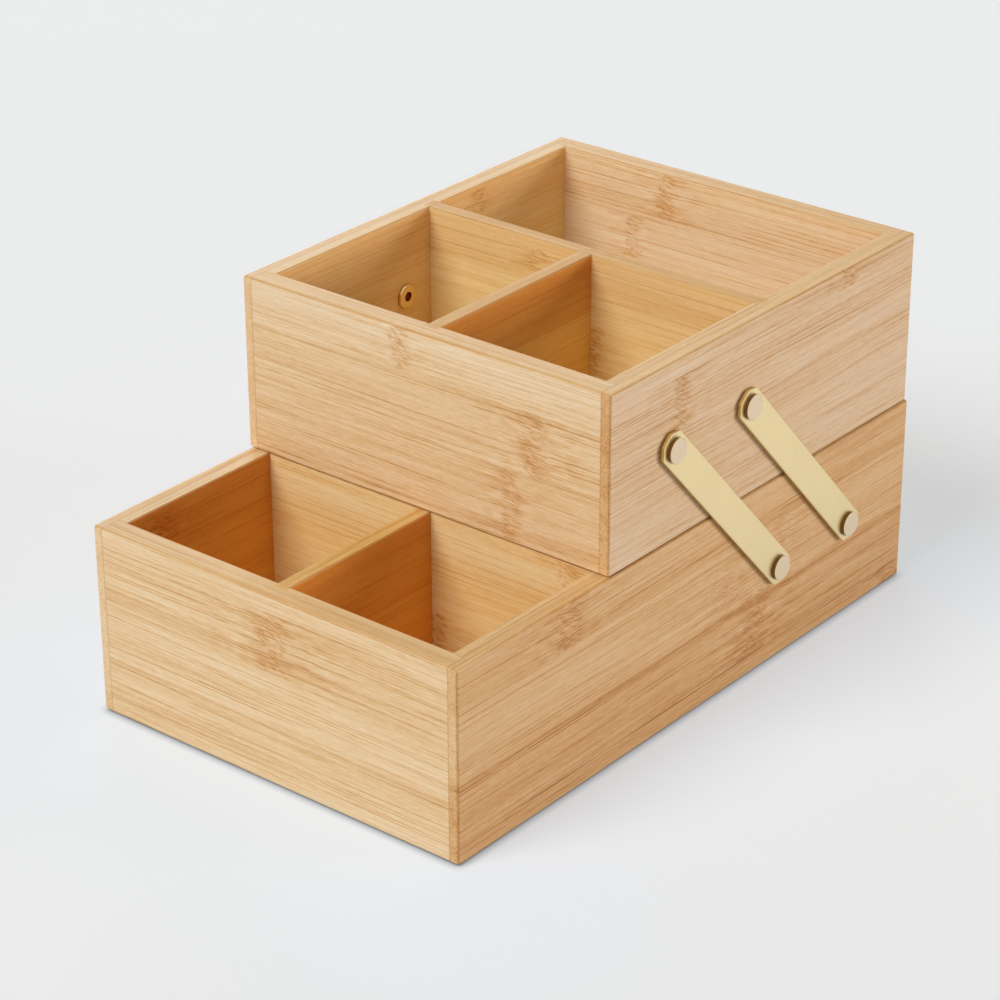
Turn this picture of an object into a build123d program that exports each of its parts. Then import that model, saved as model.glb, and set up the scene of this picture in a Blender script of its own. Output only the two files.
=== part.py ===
from build123d import *
import math
import os

os.makedirs("parts", exist_ok=True)

# A two-tier desk organizer in bamboo, with two open trays.
# The upper tray rests on the rear part of the lower tray's rim.
# Two flat brass links on each side join the trays as a parallelogram.
# The upper tray swings up and back on them, and stays level.
#
# Frame: X runs to the right along the front, Y to the back and Z up.
# The origin lies on the table, under the middle of the lower tray.
# All sizes are in millimetres.

# ---- trays ----
width = 180.0               # both trays, outside
lower_depth = 290.0
lower_height = 81.0
upper_depth = 201.0
upper_height = 74.0
rear_inset = 2.0            # from the lower tray's rear face to the upper tray's rear face
seat_gap = 0.3              # air between the trays at rest

# ---- boards ----
side_thickness = 9.5
end_thickness = 9.5         # front and rear panels
divider_thickness = 6.5
floor_thickness = 5.0
floor_lift = 3.0            # from a tray's underside to the underside of its floor
outer_radius = 1.2          # rounding of a tray's upright and rim edges
underside_bevel = 1.0       # around a tray's underside
mouth_easing = 0.5          # bevel around the mouth of each compartment

# ---- joinery ----
corner_lip = 4.4            # what a rabbet leaves of the side panel over a panel's end
floor_tongue = 4.5          # how far the floor reaches into the grooves
floor_play = 0.2            # room for the floor to swell, at each edge
housing_depth = 3.0         # how far a divider is let into a wall
cross_housing_depth = 2.0   # how far a divider is let into another divider

# ---- dividers ----
lower_cross_recess = 1.5    # the cross panel stands this far behind the upper tray's front face
upper_cross_setback = 101.2  # from the upper tray's front face to its cross divider

# ---- links and pivots ----
pivot_setback = 37.0        # from the upper tray's front face to its front pivots
pivot_pitch = 49.0          # from a front pivot to the rear one
upper_pivot_height = 39.4   # above the upper tray's underside
lower_pivot_height = 42.5   # above the table
link_run = 72.0             # how far behind its upper pivot a link's lower pivot lies
link_width = 14.0
link_thickness = 1.5
link_end_reach = 7.0        # from a pivot to the end of the link
link_corner_clip = 4.0
link_corner_radius = 2.0
link_edge_easing = 0.3      # on the outer face only

# ---- pivots: a headed stud outside, pressed into a flanged post from inside ----
stud_diameter = 4.0
stud_depth = 7.0            # how far the stud reaches into its post
head_diameter = 10.4
head_thickness = 1.6
head_bevel = 0.3
post_diameter = 6.2
post_stand_off = 0.9        # the post's end stands proud of the wood and carries the link
flange_diameter = 10.6
flange_thickness = 1.1
flange_bevel = 0.4
axial_play = 0.1            # on each face of a link, along its pivot
running_clearance = 0.06    # radial, where a link turns on a stud
free_clearance = 0.3        # radial, where a link only hangs round a stud
snug_clearance = 0.03       # radial, stud in post and post in wood

# ---- places that follow from the sizes above ----
link_rise = lower_height + seat_gap + upper_pivot_height - lower_pivot_height
link_length = math.hypot(link_run, link_rise)
link_angle = math.degrees(math.atan2(link_rise, link_run))
link_travel = 180 - 2 * link_angle

LEFT = -1
RIGHT = 1


def block(x_span, y_span, z_span):
    """A box between two places along each axis."""
    lows = [min(span) for span in (x_span, y_span, z_span)]
    highs = [max(span) for span in (x_span, y_span, z_span)]
    size = [high - low for low, high in zip(lows, highs)]
    return Pos(*lows) * Box(*size, align=(Align.MIN, Align.MIN, Align.MIN))


class Tray:
    """The outside of one tray, and the faces that its boards share."""

    def __init__(self, front, base, depth, height):
        self.left = -width / 2
        self.right = width / 2
        self.front = front
        self.rear = front + depth
        self.base = base
        self.rim = base + height
        self.inner_left = self.left + side_thickness
        self.inner_right = self.right - side_thickness
        self.inner_front = self.front + end_thickness
        self.inner_rear = self.rear - end_thickness
        self.floor_bottom = base + floor_lift
        self.floor_top = self.floor_bottom + floor_thickness

    def envelope(self):
        """The whole tray as one block, with its outer edges softened."""
        solid = block((self.left, self.right), (self.front, self.rear), (self.base, self.rim))
        upright_edges = solid.edges().filter_by(Axis.Z)
        rim_edges = solid.edges().group_by(Axis.Z)[-1]
        solid = fillet(upright_edges + rim_edges, outer_radius)
        return chamfer(solid.faces().sort_by(Axis.Z)[0].edges(), underside_bevel)

    def outer_face(self, hand):
        """X of the outside of the left or the right side panel."""
        return self.right if hand == RIGHT else self.left


lower = Tray(-lower_depth / 2, 0.0, lower_depth, lower_height)
upper_front = lower.rear - rear_inset - upper_depth
upper = Tray(upper_front, lower.rim + seat_gap, upper_depth, upper_height)

lower_cross_front = upper.front + lower_cross_recess
upper_cross_front = upper.front + upper_cross_setback


# ---- floors, dividers and bevels ----

def floor_block(tray, reach):
    """The floor's block, reaching the given distance into the four walls."""
    return block(
        (tray.inner_left - reach, tray.inner_right + reach),
        (tray.inner_front - reach, tray.inner_rear + reach),
        (tray.floor_bottom, tray.floor_top),
    )


def floor_panel(tray):
    return floor_block(tray, floor_tongue - floor_play)


def floor_groove(tray):
    return floor_block(tray, floor_tongue)


def cross_board(tray, cross_front):
    """A divider from side to side, with its ends let into the side panels."""
    return block(
        (tray.inner_left - housing_depth, tray.inner_right + housing_depth),
        (cross_front, cross_front + divider_thickness),
        (tray.floor_top, tray.rim),
    )


def middle_board(tray, cross_front):
    """A divider from the front panel to the cross board, let into both."""
    return block(
        (-divider_thickness / 2, divider_thickness / 2),
        (tray.inner_front - housing_depth, cross_front + cross_housing_depth),
        (tray.floor_top, tray.rim),
    )


def compartments(tray, cross_front):
    """X and Y spans of the two compartments before the cross board and the one behind it."""
    half_divider = divider_thickness / 2
    before = (tray.inner_front, cross_front)
    behind = (cross_front + divider_thickness, tray.inner_rear)
    return [
        ((tray.inner_left, -half_divider), before),
        ((half_divider, tray.inner_right), before),
        ((tray.inner_left, tray.inner_right), behind),
    ]


def mouth_bevel(tray, x_span, y_span):
    """The wedge that bevels the rim all around the mouth of one compartment."""
    x_size = x_span[1] - x_span[0] + 2 * mouth_easing
    y_size = y_span[1] - y_span[0] + 2 * mouth_easing
    middle = Pos(sum(x_span) / 2, sum(y_span) / 2, tray.rim)
    return middle * extrude(Rectangle(x_size, y_size), amount=-mouth_easing, taper=45)


# ---- walls ----

def end_wall(tray, y_span):
    """A front or rear panel. Its ends sit in the rabbets of the side panels."""
    x_span = (tray.left + corner_lip, tray.right - corner_lip)
    return tray.envelope() & block(x_span, y_span, (tray.base, tray.rim))


def side_wall(tray, hand):
    """A side panel of full depth, with a rabbet at each end for the end panels."""
    outer = tray.outer_face(hand)
    inner = outer - hand * side_thickness
    lip = outer - hand * corner_lip
    z_span = (tray.base, tray.rim)
    panel = tray.envelope() & block((outer, inner), (tray.front, tray.rear), z_span)
    panel -= block((lip, inner), (tray.front, tray.inner_front), z_span)
    panel -= block((lip, inner), (tray.inner_rear, tray.rear), z_span)
    return panel


def tray_boards(tier, tray, cross_front, cross_name, middle_name):
    """Every board of one tray, as node name to solid."""
    groove = floor_groove(tray)
    cross = cross_board(tray, cross_front)
    middle = middle_board(tray, cross_front)
    boards = {
        tier + "_front_panel": end_wall(tray, (tray.front, tray.inner_front)) - groove - middle,
        tier + "_rear_panel": end_wall(tray, (tray.inner_rear, tray.rear)) - groove,
        tier + "_left_side": side_wall(tray, LEFT) - groove - cross,
        tier + "_right_side": side_wall(tray, RIGHT) - groove - cross,
        cross_name: cross - middle,
        middle_name: middle,
    }
    for spans in compartments(tray, cross_front):
        bevel = mouth_bevel(tray, *spans)
        for name in boards:
            boards[name] -= bevel
    boards[tier + "_floor_panel"] = floor_panel(tray)
    return boards


# ---- links ----

def link_outline():
    """A strip along X with clipped and softened corners, centred on its length."""
    length = link_length + 2 * link_end_reach
    strip = Rectangle(length, link_width)
    strip = chamfer(strip.vertices(), link_corner_clip)
    return fillet(strip.vertices(), link_corner_radius)


def link_plate(bottom_hole_radius, top_hole_radius):
    """A link lying flat, from its bottom pivot at the origin to its top pivot on +X."""
    plate = extrude(Pos(link_length / 2, 0) * link_outline(), amount=link_thickness)
    plate = chamfer(plate.faces().sort_by(Axis.Z)[-1].edges(), link_edge_easing)
    plate -= Cylinder(bottom_hole_radius, 4 * link_thickness)
    plate -= Pos(link_length, 0) * Cylinder(top_hole_radius, 4 * link_thickness)
    return plate


def pivot_places(front_pivot_y):
    return {"front": front_pivot_y, "rear": front_pivot_y + pivot_pitch}


upper_pivot_y = pivot_places(upper.front + pivot_setback)
lower_pivot_y = pivot_places(upper.front + pivot_setback + link_run)
upper_pivot_z = upper.base + upper_pivot_height
lower_pivot_z = lower_pivot_height


def outward(hand, place):
    """Stands a piece that was made along +Z on a side panel, facing out of the object."""
    return Location(Plane(origin=place, x_dir=(0, hand, 0), z_dir=(hand, 0, 0)))


def pivot_place(tray, hand, y, z):
    """A pivot on the outer face of a side panel."""
    return outward(hand, (tray.outer_face(hand), y, z))


def link(hand, row, top_hole_radius):
    """A link on its pivots, leaning forward from the lower tray to the upper one."""
    x = lower.outer_face(hand) + hand * (post_stand_off + axial_play)
    lean = 180 - link_angle if hand == RIGHT else link_angle
    plate = link_plate(stud_diameter / 2 + running_clearance, top_hole_radius)
    return outward(hand, (x, lower_pivot_y[row], lower_pivot_z)) * Rot(0, 0, lean) * plate


# ---- studs and posts, made along +Z with the side panel's outer face at Z = 0 ----

head_bottom = post_stand_off + link_thickness + 2 * axial_play
head_top = head_bottom + head_thickness
flange_top = -side_thickness
flange_bottom = flange_top - flange_thickness


def turned(profile):
    """A solid of revolution about Z, from points of radius and height."""
    return revolve(Plane.XZ * make_face(Polyline(*profile, close=True)), axis=Axis.Z)


def stud():
    """The outer half of a pivot: a flat head on a plain shank."""
    shank = stud_diameter / 2
    head = head_diameter / 2
    shank_end = post_stand_off - stud_depth
    return turned([
        (0, shank_end),
        (shank, shank_end),
        (shank, head_bottom),
        (head, head_bottom),
        (head, head_top - head_bevel),
        (head - head_bevel, head_top),
        (0, head_top),
    ])


def post():
    """The inner half of a pivot: a tube through the side panel, with a flange inside."""
    bore = stud_diameter / 2 + snug_clearance
    tube = post_diameter / 2
    flange = flange_diameter / 2
    return turned([
        (bore, flange_bottom),
        (flange - flange_bevel, flange_bottom),
        (flange, flange_bottom + flange_bevel),
        (flange, flange_top),
        (tube, flange_top),
        (tube, post_stand_off),
        (bore, post_stand_off),
    ])


def post_hole():
    """The hole that a post needs through a side panel."""
    radius = post_diameter / 2 + snug_clearance
    return Pos(0, 0, -side_thickness / 2) * Cylinder(radius, 2 * side_thickness)


# ---- assembly ----

nodes = {}
nodes.update(tray_boards("lower", lower, lower_cross_front, "lower_cross_panel", "lower_center_divider"))
nodes.update(tray_boards("upper", upper, upper_cross_front, "upper_cross_divider", "upper_short_divider"))

fasteners = {"studs": stud(), "posts": post()}
pivots = {"lower": [], "upper": []}

for side, hand in (("left", LEFT), ("right", RIGHT)):
    for row in ("front", "rear"):
        carries_upper_tray = side == "right" and row == "rear"
        top_clearance = running_clearance if carries_upper_tray else free_clearance
        nodes[side + "_" + row + "_link"] = link(hand, row, stud_diameter / 2 + top_clearance)
        lower_place = pivot_place(lower, hand, lower_pivot_y[row], lower_pivot_z)
        upper_place = pivot_place(upper, hand, upper_pivot_y[row], upper_pivot_z)
        pivots["lower"].append((side, lower_place))
        pivots["upper"].append((side, upper_place))

for tier, places in pivots.items():
    for side, place in places:
        nodes[tier + "_" + side + "_side"] -= place * post_hole()
    for kind, fastener in fasteners.items():
        nodes[tier + "_" + kind] = Compound([place * fastener for side, place in places])

for name, solid in nodes.items():
    export_step(solid, "parts/" + name + ".step")

print("link length", round(link_length, 3))
print("link angle", round(link_angle, 4))
print("link travel", round(link_travel, 4))
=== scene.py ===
import math

import bpy
from mathutils import Matrix, Vector


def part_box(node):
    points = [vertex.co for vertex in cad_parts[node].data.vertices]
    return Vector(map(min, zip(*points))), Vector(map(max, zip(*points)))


# The looks of a two-tier bamboo desk organizer with brass links.
# Every length is in metres, apart from the wood's pattern, which is in millimetres.
# X runs to the right along the front, Y to the back and Z up.

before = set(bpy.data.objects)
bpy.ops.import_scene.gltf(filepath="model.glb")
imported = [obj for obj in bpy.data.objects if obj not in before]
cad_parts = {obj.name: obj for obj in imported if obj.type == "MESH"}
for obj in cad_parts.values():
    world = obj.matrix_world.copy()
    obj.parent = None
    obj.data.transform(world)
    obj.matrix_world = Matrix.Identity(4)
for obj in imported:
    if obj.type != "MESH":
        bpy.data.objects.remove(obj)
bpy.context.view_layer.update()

WHITE = (1.0, 1.0, 1.0, 1.0)

# ---- camera ----
CAMERA_PLACE = Vector((0.7139, -0.8868, 0.6303))
CAMERA_AIM = Vector((-0.0040, -0.0055, 0.0640))
CAMERA_LENS = 115.0            # mm, on a 36 mm sensor
CAMERA_ROLL = math.radians(-0.2)

# ---- light ----
# Each lamp is a far one: where its light comes from, its strength in W/m2 and its spread.
LAMPS = {
    "key": (Vector((-0.25, -1.0, 1.05)), 2.32, math.radians(34)),
    "right_fill": (Vector((1.0, 0.60, 0.10)), 1.58, math.radians(24)),
    "rear_fill": (Vector((-0.75, 0.65, 0.12)), 1.0, math.radians(30)),
}
ZENITH = 0.20                  # how brightly the room lights the object from overhead
HORIZON = 1.84                 # and from the horizon
HORIZON_FALL = 6.0             # how fast that light fades upwards from the horizon
BACKDROP = 0.82                # how bright the room looks behind the object

# ---- floor ----
FLOOR_SHADE = 0.41
FLOOR_MOTTLE = 0.01            # how much the shade varies from place to place
FLOOR_MOTTLE_SCALE = 3.0       # per metre
FLOOR_COOLNESS = (1.0, 1.02, 1.035)      # red, green and blue, as shares of the shade
FLOOR_GLOW = 0.46              # added to what is seen of the floor, so that it is pale
FLOOR_ROUGHNESS = 0.9
FLOOR_GLOSS = 0.1
FLOOR_HALF_WIDTH = 4.0
FLOOR_DROP = 0.0002            # below the tray's underside
# A tint near the object evens out the warm light that the wood throws on the floor.
NEAR_FLOOR_TINT = (0.972, 1.007, 1.045, 1.0)
NEAR_FLOOR_REACH = 0.13
FOOT_SHADE_REACH = 0.0038      # how far the painted shade at the tray's foot spreads
FOOT_SHADE_POWER = 0.6
FOOT_SHADE_SAMPLES = 16


def srgb(red, green, blue):
    """A colour given as 0 to 255 on a screen, as the linear colour of a shader."""
    def linear(level):
        level = level / 255
        return level / 12.92 if level <= 0.04045 else ((level + 0.055) / 1.055) ** 2.4
    return (linear(red), linear(green), linear(blue), 1.0)


def shaded(colour, share):
    """A darker colour: a share of another one."""
    return [share * level for level in colour[:3]] + [1.0]


def new_material(name):
    material = bpy.data.materials.new(name)
    material.use_nodes = True
    return material


class Graph:
    """Fills a node tree, which it empties first. A value is a number, a colour or another node's
    output."""

    def __init__(self, tree):
        self.tree = tree
        tree.nodes.clear()

    def put(self, socket, value):
        if isinstance(value, bpy.types.NodeSocket):
            self.tree.links.new(value, socket)
        else:
            socket.default_value = value

    def node(self, kind, inputs, **settings):
        node = self.tree.nodes.new("ShaderNode" + kind)
        for key, value in settings.items():
            setattr(node, key, value)
        for key, value in inputs.items():
            self.put(node.inputs[key], value)
        return node

    def math(self, operation, first, second=0.0):
        return self.node("Math", {0: first, 1: second}, operation=operation).outputs[0]

    def add(self, first, second):
        return self.math("ADD", first, second)

    def minus(self, first, second):
        return self.math("SUBTRACT", first, second)

    def times(self, first, second):
        return self.math("MULTIPLY", first, second)

    def larger(self, first, second):
        return self.math("MAXIMUM", first, second)

    def smaller(self, first, second):
        return self.math("MINIMUM", first, second)

    def size_of(self, value):
        return self.math("ABSOLUTE", value)

    def flip(self, value):
        return self.math("SUBTRACT", 1.0, value)

    def centred(self, value, share):
        """A value of 0 to 1, moved to lie either side of 0 and scaled to a share."""
        return self.times(self.minus(value, 0.5), share)

    def is_number(self, value, number):
        """1 where a whole number is the one given, and 0 elsewhere."""
        return self.node("Math", {0: value, 1: number, 2: 0.5}, operation="COMPARE").outputs[0]

    def rise(self, value, low, high):
        """0 at low, 1 at high, and smooth between them. Low may be the larger."""
        inputs = {"Value": value, "From Min": low, "From Max": high}
        return self.node("MapRange", inputs, interpolation_type="SMOOTHSTEP").outputs[0]

    def fall(self, value, low, high):
        """1 at low, 0 at high, and smooth between them."""
        return self.flip(self.rise(value, low, high))

    def point(self, x, y, z):
        return self.node("CombineXYZ", {0: x, 1: y, 2: z}).outputs[0]

    def parts(self, vector):
        return self.node("SeparateXYZ", {0: vector}).outputs

    def scaled(self, vector, scale):
        return self.node("VectorMath", {0: vector, "Scale": scale}, operation="SCALE").outputs[0]

    def noise(self, point, detail=2.0, roughness=0.5):
        inputs = {"Vector": point, "Scale": 1.0, "Detail": detail, "Roughness": roughness}
        return self.node("TexNoise", inputs).outputs[0]

    def random(self, point):
        return self.node("TexWhiteNoise", {"Vector": point}).outputs[0]

    def cells(self, across, down):
        """How far the nearest of many scattered points is, and a random number of its own."""
        inputs = {"Vector": self.point(across, down, 0.0), "Scale": 1.0}
        outputs = self.node("TexVoronoi", inputs, voronoi_dimensions="2D").outputs
        chance = self.node("SeparateColor", {0: outputs["Color"]}).outputs[0]
        return outputs["Distance"], chance

    def ramp(self, value, stops):
        """The colour at a value, between the stops given as (value, colour)."""
        low = stops[0][0]
        span = stops[-1][0] - low
        node = self.node("ValToRGB", {0: self.times(self.minus(value, low), 1 / span)})
        elements = node.color_ramp.elements
        # A new ramp has two stops already.
        for stop, _ in stops[2:]:
            elements.new((stop - low) / span)
        for element, (stop, colour) in zip(elements, stops):
            element.position = (stop - low) / span
            element.color = colour
        return node.outputs[0]

    def mix(self, share, first, second, blend="MIX"):
        node = self.node("Mix", {}, data_type="RGBA", blend_type=blend)
        # A mix node has a set of sockets for each type of data; these are the colours'.
        self.put(node.inputs[0], share)
        self.put(node.inputs[6], first)
        self.put(node.inputs[7], second)
        return node.outputs[2]

    def mix_number(self, share, first, second):
        return self.add(self.times(self.flip(share), first), self.times(share, second))

    def bump(self, height, distance):
        inputs = {"Height": height, "Distance": distance, "Strength": 1.0}
        return self.node("Bump", inputs).outputs[0]

    def finish(self, **inputs):
        """The surface shader and its way out. Names of sockets are given with _ for a space."""
        named = {key.replace("_", " "): value for key, value in inputs.items()}
        shader = self.node("BsdfPrincipled", named)
        self.node("OutputMaterial", {0: shader.outputs[0]})


# ---- bamboo ----
# The wood's colour by its warmth, from pale to as deep as a dark fibre.
WOOD = [
    (-0.40, srgb(250, 236, 214)),
    (0.00, srgb(241, 218, 184)),
    (0.30, srgb(233, 201, 157)),
    (0.60, srgb(220, 176, 122)),
    (1.00, srgb(188, 128, 70)),
]
FLECK_PALE = srgb(242, 218, 174)
FLECK_DARK = srgb(198, 134, 70)
PIT = srgb(142, 88, 42)
LINE = srgb(160, 104, 52)

# Tints of the sides, as 0 to 255. The faces inside the trays have the deeper ones: painted shade that
# stands for the dim, warm light in the compartments.
PLAIN = (255, 255, 255)
COOL = (250, 251, 252)
ROSY = (252, 246, 250)
HONEY = (255, 252, 228)
WHEAT = (255, 244, 208)
STRAW = (254, 245, 202)
APRICOT = (255, 241, 196)
BISCUIT = (246, 232, 196)
TAN = (252, 236, 220)
PALE_AMBER = (255, 230, 184)
GOLD = (255, 226, 150)
DEEP_AMBER = (255, 198, 102)
AMBER = (240, 178, 92)
UMBER = (230, 174, 96)
# The rim tints darken what faces up: painted shade against the light that falls on the tops.
RIM_SHADE = (244, 234, 214)
DIVIDER_RIM_SHADE = (242, 224, 176)
UPPER_DIVIDER_RIM_SHADE = (227, 202, 150)
EASED_EDGE_SHADE = srgb(232, 222, 206)    # painted shade that dims the highlight on the rounded edges

# The wood's lengths are in millimetres. A scale is in waves per millimetre, along and across the
# grain. An offset sets a pattern apart from the others of its board.
MM = 1000.0
NEAR_SIDE = (1, -1, 1)         # a board's near side faces right, forwards or up, by its thin axis
STRIP_WIDTH = 25.0
SEED_STEP = 7.3                # sets one board's patterns apart from the next one's
PLY_STEP = 5.0                 # and the tones of its two plies
FAR_MARKS_OFFSET = 3.1
PLY_SHIFT = 137.0              # how far the grain of one ply is shifted from the other's
STRIP_SHIFT = 31.0             # and that of one strip from the next one's

SWAY = 1.6                     # how far the fibres bend beside a mark
SWAY_SCALE = (0.09, 0.25)
DRIFT = 3.0                    # how far they bend everywhere
DRIFT_SCALE = (0.007, 0.03)
DRIFT_OFFSET = 1.0

# Noise drawn out along the grain: how long its streaks are and how far apart.
BANDS = {"length": 150.0, "pitch": 6.5, "offset": 0.0, "detail": 2.0}
STREAKS = {"length": 42.0, "pitch": 0.95, "offset": 11.0, "detail": 3.0, "roughness": 0.6}
DASHES = {"length": 4.5, "pitch": 0.42, "offset": 33.0, "detail": 1.0}
WANDER = {"length": 85.0, "pitch": 2.4, "offset": 51.0, "detail": 1.0}
WANDER_DEPTH = 2.6             # how far the bundles of fibres wander in and out of a face

# Bundles of fibres: how far apart they are and how thick.
COARSE_BUNDLES = {"pitch": 1.20, "radius": 0.26}
FINE_BUNDLES = {"pitch": 0.62, "radius": 0.14}
BUNDLE_FADE = (0.4, 1.6)       # where a bundle ends, as shares of its radius
BUNDLE_FAINTEST = 0.25         # the faintest bundle, as a share of the darkest

# How much of the warmth comes from each part of the pattern.
EVEN_WARMTH = 0.26             # the same everywhere
STRIP_SPREAD = 0.22            # from strip to strip, where the board says nothing of them
BAND_WARMTH = 0.50
STREAK_WARMTH = 0.62
DASH_WARMTH = 0.50
COARSE_WARMTH = 0.42
FINE_WARMTH = 0.20
END_PALING = 0.45              # how much fainter the bundles are on the ends of a board
CORE_WARMTH = 0.10             # in the core of a mark
MOTTLE_WARMTH = 0.9            # in the halo of a mark
MOTTLE_MIDDLE = 0.46           # the halo is warmer where its noise is over this, and else paler
MOTTLE_SCALE = (0.09, 0.33)
MOTTLE_OFFSET = 71.0
WARM_BAND_FADE = (0.4, 1.3)    # where a warm band ends, as shares of its half width

# A mark has a core and, round it, a halo. They end at these shares of its half length.
CORE_FADE = (0.3, 1.2)
HALO_FADE = (0.8, 4.5)
MARK_EDGE_FADE = (-0.8, 0.4)   # across the grain, from the mark's edge outwards
RAGGED = 12.0                  # how far a mark's outline comes and goes along the grain
RAGGED_SCALE = 0.35
PIT_ROW_PLACE = 0.5            # where its row of pits is, as a share of its half length
PIT_ROW_FADE = (0.6, 1.8)      # away from that row

# Flecks and pits show where their noise passes these fades.
FLECK_SLANT = 0.22             # how far the flecks go across the grain for each mm along it
FLECK_WAVE_SCALE = (0.30, 0.40)
FLECK_SCALE = (0.26, 1.8)
FLECK_OFFSET = 5.0
FLECK_DARK_FADE = (0.48, 0.64)
FLECK_DARK_SHARE = 0.64
FLECK_PALE_FADE = (0.46, 0.34)
FLECK_PALE_SHARE = 0.28
PIT_SCALE = (1.0, 0.85)
PIT_OFFSET = 9.0
PIT_FADE = (0.60, 0.68)
PIT_SHARE = 0.48

# Lines: two between the plies, a seam between two strips, and the glue of a joint. Their fades
# are places away from a line's middle.
PLY_LINE_GAP = 0.45            # how far the lines between the plies are from a board's middle
PLY_LINE_FADE = (0.064, 0.256)
PLY_LINE_SHARE = 0.30
SEAM_FADE = (0.38, 0.12)
SEAM_SCALE = 0.02
SEAM_FAINTNESS = (0.35, 0.60)  # the seam comes and goes where its noise is between these
GLUE_LINE_FADE = (0.39, 0.15)
GLUE_LINE_SHARE = 0.28

# Where a face begins, by how much of its normal lies along an axis.
BROAD_FADE = (0.4, 0.8)
FACE_FADE = (0.5, 0.9)
END_FADE = (0.55, 0.85)
EASED_FADE = (0.97, 0.85)      # the normal of a rounded edge lies along none of them
DEEP_TINT_FADE = (4.0, 32.0)   # below a board's upper edge; the tint's change with height is painted light and shade

WOOD_ROUGHNESS = 0.40
STREAK_ROUGHNESS = 0.12        # how much rougher the streaks are
WOOD_GLOSS = 0.2
PORE_SHARE = -0.4              # the coarse bundles lie lower than the wood round them
PORE_DEPTH = 0.00003           # in metres


class Mark:
    """The trace of a joint of the cane in one strip of bamboo: its middle and half sizes, in mm."""

    def __init__(self, along, across, half_along, half_across, depth=1.0):
        self.along = along
        self.across = across
        self.half_along = half_along
        self.half_across = half_across
        self.depth = depth


class Board:
    """How one board was cut and finished. Its lengths are in mm.

    near and far are the marks on its two broad sides.
    strip_edge is a place across the grain where two strips meet.
    tones has one number for each strip of the near ply, from the lowest: how warm it is.
    bands has (across, half width, warmth) for each warm band of the near ply.
    near_tint colours the near side, and turns into deep_tint some way below the upper edge; that change
    with height is painted light and shade. far_tint and rim_tint colour the far side and what faces up,
    and end_warmth the cut ends.
    The deeper tints of the faces inside the trays and the darker tint of what faces up are painted
    shade.
    hidden says how far its start and its end are let into its neighbours.
    A glued board shows a line of glue there. seam is a dark seam's place across the grain."""

    def __init__(self, near=(), far=(), strip_edge=0.0, tones=(), bands=(),
                 near_tint=PLAIN, deep_tint=None, far_tint=PLAIN, rim_tint=RIM_SHADE, end_warmth=0.14,
                 hidden=(0.0, 0.0), glued=True, seam=None):
        self.near = near
        self.far = far
        self.strip_edge = strip_edge
        self.tones = tones
        self.bands = bands
        self.near_tint = srgb(*near_tint)
        self.deep_tint = srgb(*(deep_tint or near_tint))
        self.far_tint = srgb(*far_tint)
        self.rim_tint = srgb(*rim_tint)
        self.end_warmth = end_warmth
        self.hidden = hidden
        self.glued = glued
        self.seam = seam


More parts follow.
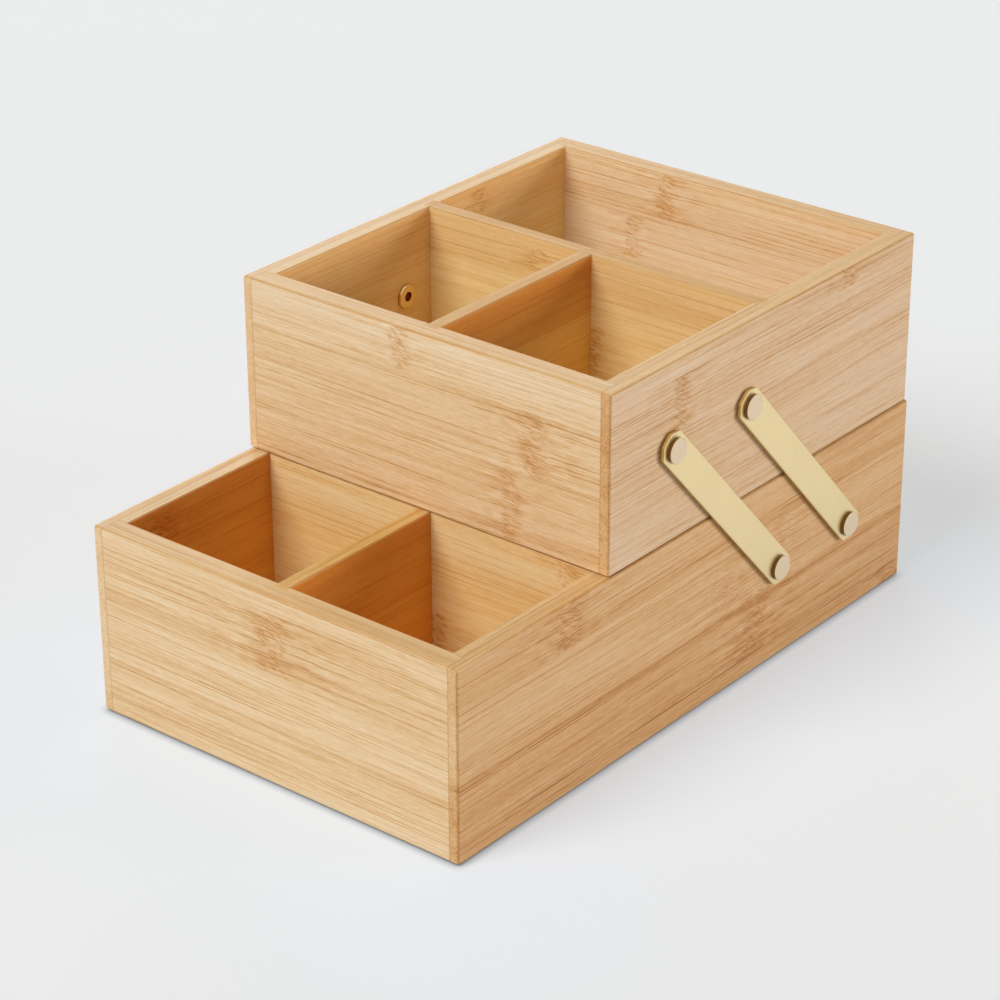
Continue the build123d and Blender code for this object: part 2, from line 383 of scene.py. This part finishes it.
BOARDS = {
    "lower_front_panel": Board(
        near=[Mark(1.5, 60.5, 10, 12.5)],
        far=[Mark(40, 37, 8, 12), Mark(-55, 62, 7, 12)],
        tones=(0.04, 0.0, 0.04, 0.0),
        bands=[(52, 5, 0.12), (68, 4, 0.06), (24, 1.5, 0.12)],
        far_tint=HONEY,
    ),
    "lower_rear_panel": Board(
        near=[Mark(-30, 37, 7, 12), Mark(48, 62, 7, 12)],
        far=[Mark(20, 62, 8, 12), Mark(-52, 12, 7, 12), Mark(-22, 37, 7, 12)],
        near_tint=HONEY,
    ),
    "lower_left_side": Board(
        near=[Mark(-117, 72, 8, 7), Mark(20, 47, 7, 12)],
        far=[Mark(-60, 47, 8, 12), Mark(72, 22, 8, 12), Mark(-8, 72, 8, 12)],
        strip_edge=9.0,
        tones=(-0.48, -0.46, -0.26, -0.14),
        near_tint=AMBER,
        deep_tint=DEEP_AMBER,
        glued=False,
    ),
    "lower_right_side": Board(
        near=[
            Mark(-81, 72, 10, 10),
            Mark(38, 22, 10, 14),
            Mark(20, 47, 15, 11, depth=0.5),
            Mark(58, 56, 11, 7, depth=0.5),
            Mark(136, 4, 9, 5),
        ],
        far=[Mark(-30, 47, 8, 12), Mark(92, 72, 8, 9)],
        strip_edge=8.2,
        tones=(0.24, 0.20, 0.04, 0.08),
        bands=[(33, 3, 0.10), (65, 3, 0.10)],
        near_tint=TAN,
        far_tint=PALE_AMBER,
        end_warmth=0.20,
        glued=False,
        seam=8.2,
    ),
    "lower_floor_panel": Board(
        near=[Mark(-95, 35, 7, 12), Mark(-30, -40, 7, 12), Mark(60, 10, 7, 12)],
        far=[Mark(-60, 10, 7, 12), Mark(40, -40, 7, 12), Mark(90, 60, 7, 12)],
        tones=(-0.12, -0.2, -0.08, -0.16, -0.22, -0.1, -0.18, -0.12),
        near_tint=WHEAT,
        rim_tint=PLAIN,
    ),
    "lower_cross_panel": Board(
        near=[Mark(7, 30, 5, 8), Mark(71, 75, 6, 6)],
        far=[Mark(-40, 37, 7, 12), Mark(30, 62, 7, 12)],
        tones=(-0.30, -0.30, -0.10, 0.0),
        rim_tint=DIVIDER_RIM_SHADE,
        near_tint=HONEY,
        deep_tint=APRICOT,
        far_tint=HONEY,
        hidden=(3.0, 3.0),
    ),
    "lower_center_divider": Board(
        far=[Mark(-90, 37, 7, 12)],
        tones=(-0.35, -0.30, -0.12, -0.05),
        rim_tint=DIVIDER_RIM_SHADE,
        near_tint=AMBER,
        deep_tint=DEEP_AMBER,
        far_tint=PALE_AMBER,
        hidden=(3.0, 2.0),
    ),
    "upper_front_panel": Board(
        near=[Mark(-9.5, 148, 5.5, 11), Mark(55, 125, 8, 13), Mark(44, 97, 5.5, 15)],
        far=[Mark(-50, 100, 7, 12), Mark(20, 125, 7, 12)],
        strip_edge=12.0,
        tones=(0.12, 0.11, 0.04, -0.08),
        near_tint=COOL,
        bands=[(136, 1.5, 0.08), (110, 2, 0.08), (86, 3, 0.08)],
        far_tint=HONEY,
    ),
    "upper_rear_panel": Board(
        near=[Mark(-26, 145, 5.5, 10), Mark(-43.5, 123, 4.5, 10)],
        far=[Mark(30, 124, 7, 12), Mark(-48, 99, 7, 12)],
        strip_edge=9.5,
        tones=(-0.20, -0.20, -0.15, -0.02),
    ),
    "upper_left_side": Board(
        near=[Mark(76, 148, 6, 6)],
        far=[Mark(-20, 124, 8, 12), Mark(84, 99, 8, 12)],
        strip_edge=12.0,
        tones=(-0.48, -0.48, -0.42, -0.26),
        near_tint=PALE_AMBER,
        deep_tint=APRICOT,
        glued=False,
    ),
    "upper_right_side": Board(
        near=[Mark(-14, 137, 6, 11), Mark(95, 152, 7, 5)],
        far=[Mark(30, 99, 7, 12), Mark(98, 124, 7, 12)],
        strip_edge=12.0,
        tones=(0.0, -0.04, 0.02, 0.0),
        bands=[(105, 1.5, 0.06), (97, 1.5, 0.06), (140, 5, 0.03)],
        near_tint=ROSY,
        far_tint=PALE_AMBER,
        end_warmth=0.42,
        glued=False,
    ),
    "upper_floor_panel": Board(
        near=[Mark(-20, 40, 7, 12), Mark(70, -30, 7, 12)],
        far=[Mark(10, -20, 7, 12), Mark(100, 45, 7, 12)],
        tones=(-0.12, -0.2, -0.08, -0.16, -0.22, -0.1, -0.18, -0.12),
        near_tint=WHEAT,
        rim_tint=PLAIN,
    ),
    "upper_cross_divider": Board(
        near=[Mark(-24, 146, 7, 5), Mark(5, 114, 4.5, 11)],
        far=[Mark(50, 124, 7, 12), Mark(-30, 99, 7, 12)],
        strip_edge=12.0,
        tones=(-0.28, -0.28, -0.18, 0.0),
        rim_tint=UPPER_DIVIDER_RIM_SHADE,
        near_tint=BISCUIT,
        deep_tint=STRAW,
        far_tint=HONEY,
        hidden=(3.0, 3.0),
    ),
    "upper_short_divider": Board(
        far=[Mark(0, 120, 7, 12)],
        strip_edge=6.0,
        tones=(-0.48, -0.44, -0.06),
        rim_tint=UPPER_DIVIDER_RIM_SHADE,
        near_tint=UMBER,
        deep_tint=GOLD,
        far_tint=PALE_AMBER,
        hidden=(3.0, 2.0),
    ),
}


class BambooGraph(Graph):
    """The wood of one board. Its grain follows the board's longest side, and its two plies lie
    either side of the middle of the thinnest."""

    def __init__(self, tree, name):
        super().__init__(tree)
        self.board = BOARDS[name]
        self.seed = SEED_STEP * list(BOARDS).index(name)
        low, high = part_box(name)
        size = high - low
        thin, wide, long = sorted(range(3), key=lambda axis: size[axis])
        middle = (low + high) / 2 * MM
        self.start = low[long] * MM + self.board.hidden[0]
        self.end = high[long] * MM - self.board.hidden[1]
        self.lowest = low[wide] * MM
        self.highest = high[wide] * MM

        coordinates = self.node("TexCoord", {}).outputs
        parts = self.parts(coordinates["Object"])
        self.normal = self.parts(coordinates["Normal"])
        self.along = self.times(parts[long], MM)
        self.across = self.times(parts[wide], MM)
        outwards = self.minus(self.times(parts[thin], MM), middle[thin])
        self.depth = self.times(outwards, NEAR_SIDE[thin])
        self.facing = self.times(self.normal[thin], NEAR_SIDE[thin])
        self.broad = self.rise(self.size_of(self.normal[thin]), *BROAD_FADE)
        self.cut_end = self.rise(self.size_of(self.normal[long]), *END_FADE)
        self.near_ply = self.math("GREATER_THAN", self.depth, 0.0)
        from_edge = self.minus(self.across, self.board.strip_edge)
        self.strip = self.math("FLOOR", self.times(from_edge, 1 / STRIP_WIDTH))

        self.add_marks()
        self.add_lanes()

    def waves(self, along, across, scale, offset=0.0, **settings):
        """Noise on a face, at a scale along the grain and one across it."""
        point = self.point(self.times(along, scale[0]), self.times(across, scale[1]), self.seed + offset)
        return self.noise(point, **settings)

    def add_marks(self):
        """Sets how much a place lies in the core of a mark, in its halo and on its row of pits."""
        near = self.marks_on(self.board.near, self.near_ply, 0.0)
        far = self.marks_on(self.board.far, self.flip(self.near_ply), FAR_MARKS_OFFSET)
        self.core, self.halo, self.row = [self.smaller(self.add(*pair), 1.0) for pair in zip(near, far)]

    def marks_on(self, marks, ply, offset):
        """The same three values, for the marks of one ply."""
        core = 0.0
        halo = 0.0
        row = 0.0
        face = self.times(self.broad, ply)
        ragged = self.noise(self.point(self.seed + offset, self.times(self.across, RAGGED_SCALE), 0.0))
        shifted = self.add(self.along, self.centred(ragged, RAGGED))
        for mark in marks:
            away = self.minus(shifted, mark.along)
            off = self.size_of(self.minus(self.across, mark.across))
            edges = [mark.half_across + edge for edge in MARK_EDGE_FADE]
            in_strip = self.times(self.fall(off, *edges), mark.depth)
            inside = self.fall(self.size_of(away), *[mark.half_along * share for share in CORE_FADE])
            around = self.fall(self.size_of(away), *[mark.half_along * share for share in HALO_FADE])
            from_row = self.size_of(self.add(away, mark.half_along * PIT_ROW_PLACE))
            core = self.add(core, self.times(inside, in_strip))
            halo = self.add(halo, self.times(around, in_strip))
            row = self.add(row, self.times(self.fall(from_row, *PIT_ROW_FADE), in_strip))
        return [self.times(value, face) for value in (core, halo, row)]

    def add_lanes(self):
        """Sets the lane that a fibre keeps as it bends, and the place along it, which is shifted
        from strip to strip and from ply to ply."""
        sway = self.waves(self.along, self.across, SWAY_SCALE)
        drift = self.waves(self.along, self.across, DRIFT_SCALE, DRIFT_OFFSET)
        bend = self.add(self.times(self.centred(sway, SWAY), self.halo), self.centred(drift, DRIFT))
        self.lane = self.add(self.across, bend)
        in_ply = self.add(self.along, self.times(self.near_ply, PLY_SHIFT))
        self.grain = self.add(in_ply, self.times(self.strip, STRIP_SHIFT))

    def fibres(self, length, pitch, offset, **settings):
        """Noise that is drawn out along the grain, in streaks of a length and a pitch."""
        point = self.point(
            self.add(self.times(self.grain, 1 / length), self.seed + offset),
            self.times(self.lane, 1 / pitch),
            self.times(self.depth, 1 / pitch),
        )
        return self.noise(point, **settings)

    def bundles(self, wander, pitch, radius):
        """Bundles of fibres: lines on the faces, which come and go as they wander, and dots on the
        ends."""
        deep = self.times(self.add(self.depth, wander), 1 / pitch)
        distance, chance = self.cells(self.times(self.lane, 1 / pitch), deep)
        inside = self.fall(distance, *[share * radius / pitch for share in BUNDLE_FADE])
        return self.times(inside, self.mix_number(chance, BUNDLE_FAINTEST, 1.0))

    def strip_warmth(self):
        """How warm each strip is: the near ply's as the board says, and the rest at random."""
        chance = self.random(self.point(self.strip, self.times(self.near_ply, PLY_STEP), self.seed))
        warmth = self.centred(chance, STRIP_SPREAD)
        if self.board.tones:
            known = 0.0
            first = math.floor((self.lowest - self.board.strip_edge) / STRIP_WIDTH)
            for index, tone in enumerate(self.board.tones):
                known = self.add(known, self.times(self.is_number(self.strip, first + index), tone))
            warmth = self.mix_number(self.near_ply, warmth, known)
        for middle, half_width, rise in self.board.bands:
            off = self.size_of(self.minus(self.across, middle))
            inside = self.fall(off, *[half_width * share for share in WARM_BAND_FADE])
            warmth = self.add(warmth, self.times(self.times(inside, self.near_ply), rise))
        return warmth

    def warmth(self, streaks, coarse, fine):
        """How warm a place is, by its streaks and its bundles of fibres and by all the rest."""
        pores = self.add(self.times(coarse, COARSE_WARMTH), self.times(fine, FINE_WARMTH))
        mottle = self.waves(self.along, self.lane, MOTTLE_SCALE, MOTTLE_OFFSET)
        shares = [
            self.strip_warmth(),
            self.centred(self.fibres(**BANDS), BAND_WARMTH),
            self.centred(streaks, STREAK_WARMTH),
            self.centred(self.fibres(**DASHES), DASH_WARMTH),
            self.times(pores, self.flip(self.times(self.cut_end, END_PALING))),
            self.times(self.halo, self.times(self.minus(mottle, MOTTLE_MIDDLE), MOTTLE_WARMTH)),
            self.times(self.core, CORE_WARMTH),
            self.times(self.cut_end, self.board.end_warmth),
        ]
        total = EVEN_WARMTH
        for share in shares:
            total = self.add(total, share)
        return total

    def with_marks(self, wood):
        """A mark is full of short slanting fibres, dark and pale, beside a row of small pits."""
        wave = self.waves(self.along, self.across, FLECK_WAVE_SCALE)
        slanting = self.add(self.lane, self.times(self.along, FLECK_SLANT))
        fleck_lane = self.add(slanting, self.minus(wave, 0.5))
        flecks = self.waves(self.along, fleck_lane, FLECK_SCALE, FLECK_OFFSET, detail=1.0)
        dark = self.times(self.rise(flecks, *FLECK_DARK_FADE), self.times(self.core, FLECK_DARK_SHARE))
        pale = self.times(self.rise(flecks, *FLECK_PALE_FADE), self.times(self.core, FLECK_PALE_SHARE))
        noise = self.waves(self.along, self.across, PIT_SCALE, PIT_OFFSET)
        pits = self.times(self.rise(noise, *PIT_FADE), self.times(self.row, PIT_SHARE))
        wood = self.mix(dark, wood, FLECK_DARK)
        wood = self.mix(pale, wood, FLECK_PALE)
        return self.mix(pits, wood, PIT)

    def with_lines(self, wood):
        """The core between the two plies, a dark seam, and the glue where the board meets another."""
        off_core = self.size_of(self.minus(self.size_of(self.depth), PLY_LINE_GAP))
        lines = self.times(self.fall(off_core, *PLY_LINE_FADE), PLY_LINE_SHARE)
        if self.board.seam is not None:
            off_seam = self.size_of(self.minus(self.across, self.board.seam))
            seam = self.times(self.rise(off_seam, *SEAM_FADE), self.rise(self.facing, *FACE_FADE))
            faint = self.noise(self.point(self.times(self.along, SEAM_SCALE), self.seed, 0.0))
            lines = self.larger(lines, self.times(seam, self.rise(faint, *SEAM_FAINTNESS)))
        if self.board.glued:
            off_start = self.size_of(self.minus(self.along, self.start))
            off_end = self.size_of(self.minus(self.along, self.end))
            glue = self.rise(self.smaller(off_start, off_end), *GLUE_LINE_FADE)
            lines = self.larger(lines, self.times(glue, GLUE_LINE_SHARE))
        return self.mix(lines, wood, LINE)

    def tinted(self, wood):
        """Each side has a tint of its own, and so have the rim and the rounded edges. The deeper tints
        inside the trays, the darker rim and the darker rounded edges are painted shade.
        """
        board = self.board
        # Painted light and shade: the near side's tint changes with height below the upper edge.
        below = [self.highest - drop for drop in DEEP_TINT_FADE]
        near_tint = self.mix(self.rise(self.across, *below), board.near_tint, board.deep_tint)
        sizes = [self.size_of(part) for part in self.normal]
        steepest = self.larger(sizes[0], self.larger(sizes[1], sizes[2]))
        tints = [
            # The deeper tints inside the trays, on the near or the far side, are painted shade.
            (self.rise(self.facing, *FACE_FADE), near_tint),
            (self.rise(self.times(self.facing, -1.0), *FACE_FADE), board.far_tint),
            # Painted shade: what faces up is darkened.
            (self.rise(self.normal[2], *FACE_FADE), board.rim_tint),
            # Painted shade on the rounded edges, against their highlight.
            (self.rise(steepest, *EASED_FADE), EASED_EDGE_SHADE),
        ]
        for share, tint in tints:
            wood = self.mix(share, wood, tint, blend="MULTIPLY")
        return wood


def bamboo(name):
    """The material of one board."""
    material = new_material("bamboo_" + name)
    graph = BambooGraph(material.node_tree, name)
    wander = graph.centred(graph.fibres(**WANDER), WANDER_DEPTH)
    coarse = graph.bundles(wander, **COARSE_BUNDLES)
    fine = graph.bundles(wander, **FINE_BUNDLES)
    streaks = graph.fibres(**STREAKS)
    wood = graph.ramp(graph.warmth(streaks, coarse, fine), WOOD)
    graph.finish(
        Base_Color=graph.tinted(graph.with_lines(graph.with_marks(wood))),
        Roughness=graph.add(WOOD_ROUGHNESS, graph.times(streaks, STREAK_ROUGHNESS)),
        Specular_IOR_Level=WOOD_GLOSS,
        Normal=graph.bump(graph.times(coarse, PORE_SHARE), PORE_DEPTH),
    )
    return material


# ---- brass ----
# Scales are in waves per metre. A shade is a share of the brass's own colour.
GRIT_SCALE = 2600.0
GRIT_NOISE_ROUGHNESS = 0.6
GRIT_SHADE = 0.65
GRIT_SHARE = 0.14
GRIT_FADE = (0.42, 0.70)
CLOUD_SCALE = 60.0
CLOUD_SHADE = 0.97
CLOUD_FADE = (0.3, 0.7)
CLOUD_ROUGHNESS = 0.04         # how much the roughness varies with the clouds
FLAT_FADE = (0.35, 0.60)       # the flat faces look along X

# By the last word of a node's name: the material's name, its colour, that of the edges, its
# roughness and how high its grit is. The edges' colour is painted shade and reflection.
BRASS = {
    "link": ("brass_plate", srgb(240, 218, 167), srgb(216, 192, 110), 0.34, 0.000005),
    "studs": ("brass_head", srgb(238, 215, 181), srgb(126, 92, 46), 0.24, 0.000012),
    "posts": ("brass_tube", srgb(236, 204, 144), srgb(206, 156, 84), 0.22, 0.000004),
}


def brass(name, colour, edge_shade_colour, roughness, grit):
    """Pale satin brass with a fine grit, painted deeper on the edges round its flat faces: painted shade
    and reflection.
    """
    material = new_material(name)
    graph = Graph(material.node_tree)
    coordinates = graph.node("TexCoord", {}).outputs
    sideways = graph.size_of(graph.parts(coordinates["Normal"])[0])
    grains = graph.noise(graph.scaled(coordinates["Object"], GRIT_SCALE), roughness=GRIT_NOISE_ROUGHNESS)
    clouds = graph.noise(graph.scaled(coordinates["Object"], CLOUD_SCALE))
    tone = graph.mix(graph.rise(clouds, *CLOUD_FADE), colour, shaded(colour, CLOUD_SHADE))
    gritty = graph.times(graph.rise(grains, *GRIT_FADE), GRIT_SHARE)
    tone = graph.mix(gritty, tone, shaded(colour, GRIT_SHADE))
    graph.finish(
        # Painted shade and reflection on the edges round the flat faces.
        Base_Color=graph.mix(graph.rise(sideways, *FLAT_FADE), edge_shade_colour, tone),
        Metallic=1.0,
        Roughness=graph.add(roughness, graph.centred(clouds, CLOUD_ROUGHNESS)),
        Normal=graph.bump(grains, grit),
    )
    return material


def cover(node, material):
    node.data.materials.clear()
    node.data.materials.append(material)


def dress_boards():
    for name in BOARDS:
        cover(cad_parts[name], bamboo(name))


def dress_brass():
    finishes = {kind: brass(*finish) for kind, finish in BRASS.items()}
    for name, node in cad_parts.items():
        kind = name.split("_")[-1]
        if kind in finishes:
            cover(node, finishes[kind])


# ---- stage ----

def seen_rays(graph):
    """1 for the rays that show the background: the camera's, and those of gloss and glass."""
    path = graph.node("LightPath", {}).outputs
    direct = graph.larger(path["Is Camera Ray"], path["Is Transmission Ray"])
    return graph.larger(direct, path["Is Glossy Ray"])


def beyond_footprint(graph, place):
    """How far a place on the floor lies outside the lower tray's outline."""
    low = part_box("lower_left_side")[0]
    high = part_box("lower_right_side")[1]
    squares = []
    for axis, part in enumerate(graph.parts(place)[:2]):
        off_middle = graph.size_of(graph.minus(part, (low[axis] + high[axis]) / 2))
        outside = graph.larger(graph.minus(off_middle, (high[axis] - low[axis]) / 2), 0.0)
        squares.append(graph.times(outside, outside))
    return graph.math("SQRT", graph.add(*squares))


def floor_material():
    """Pale paper, a little bluer near the object against the wood's warm light, with a painted contact
    shadow at its foot.
    """
    material = new_material("floor_paper")
    graph = Graph(material.node_tree)
    place = graph.node("TexCoord", {}).outputs["Object"]
    # Painted contact shadow: the nearness of the tray darkens the paper and its glow.
    reach = {"Distance": FOOT_SHADE_REACH}
    openness = graph.node("AmbientOcclusion", reach, samples=FOOT_SHADE_SAMPLES).outputs["AO"]
    foot_shade = graph.math("POWER", openness, FOOT_SHADE_POWER)
    mottle = graph.centred(graph.noise(graph.scaled(place, FLOOR_MOTTLE_SCALE)), FLOOR_MOTTLE)
    shade = graph.times(graph.add(FLOOR_SHADE, mottle), foot_shade)
    levels = [graph.times(shade, share) for share in FLOOR_COOLNESS]
    colour = graph.node("CombineColor", dict(enumerate(levels))).outputs[0]
    nearness = graph.rise(beyond_footprint(graph, place), NEAR_FLOOR_REACH, 0.0)
    tint = graph.mix(nearness, WHITE, NEAR_FLOOR_TINT)
    paper = graph.node("BsdfPrincipled", {
        "Base Color": graph.mix(1.0, colour, tint, blend="MULTIPLY"),
        "Roughness": FLOOR_ROUGHNESS,
        "Specular IOR Level": FLOOR_GLOSS,
    })
    glow_strength = graph.times(graph.times(seen_rays(graph), FLOOR_GLOW), foot_shade)
    glow = graph.node("Emission", {"Color": tint, "Strength": glow_strength})
    surface = graph.node("AddShader", {0: paper.outputs[0], 1: glow.outputs[0]})
    graph.node("OutputMaterial", {0: surface.outputs[0]})
    return material


def add_floor():
    reach = FLOOR_HALF_WIDTH
    mesh = bpy.data.meshes.new("floor")
    corners = [(-reach, -reach, 0), (reach, -reach, 0), (reach, reach, 0), (-reach, reach, 0)]
    mesh.from_pydata(corners, [], [(0, 1, 2, 3)])
    mesh.materials.append(floor_material())
    floor = bpy.data.objects.new("floor", mesh)
    floor.location.z = -FLOOR_DROP
    bpy.context.scene.collection.objects.link(floor)


def add_sky():
    """A pale room that is brighter round the horizon than overhead, before an even backdrop."""
    world = bpy.data.worlds.new("studio")
    bpy.context.scene.world = world
    world.use_nodes = True
    graph = Graph(world.node_tree)
    upward = graph.parts(graph.node("TexCoord", {}).outputs["Generated"])[2]
    lowness = graph.math("POWER", graph.flip(graph.larger(upward, 0.0)), HORIZON_FALL)
    strength = graph.add(ZENITH, graph.times(lowness, HORIZON - ZENITH))
    light = graph.node("Background", {"Color": WHITE, "Strength": strength})
    backdrop = graph.node("Background", {"Color": WHITE, "Strength": BACKDROP})
    mixed = graph.node("MixShader", {0: seen_rays(graph), 1: light.outputs[0], 2: backdrop.outputs[0]})
    graph.node("OutputWorld", {0: mixed.outputs[0]})


def add_lamp(name, place, strength, spread):
    lamp = bpy.data.lights.new(name, "SUN")
    lamp.energy = strength
    lamp.angle = spread
    shown = bpy.data.objects.new(name, lamp)
    shown.rotation_mode = "QUATERNION"
    shown.rotation_quaternion = place.to_track_quat("Z", "Y")
    bpy.context.scene.collection.objects.link(shown)


def add_camera():
    camera = bpy.data.objects.new("camera", bpy.data.cameras.new("camera"))
    camera.data.lens = CAMERA_LENS
    turn = (CAMERA_AIM - CAMERA_PLACE).to_track_quat("-Z", "Y").to_matrix().to_4x4()
    roll = Matrix.Rotation(CAMERA_ROLL, 4, "Z")
    camera.matrix_world = Matrix.Translation(CAMERA_PLACE) @ turn @ roll
    bpy.context.scene.collection.objects.link(camera)
    bpy.context.scene.camera = camera


dress_boards()
dress_brass()
add_floor()
add_sky()
for lamp_name, (lamp_place, lamp_strength, lamp_spread) in LAMPS.items():
    add_lamp(lamp_name, lamp_place, lamp_strength, lamp_spread)
add_camera()
bpy.context.scene.view_settings.view_transform = "Standard"
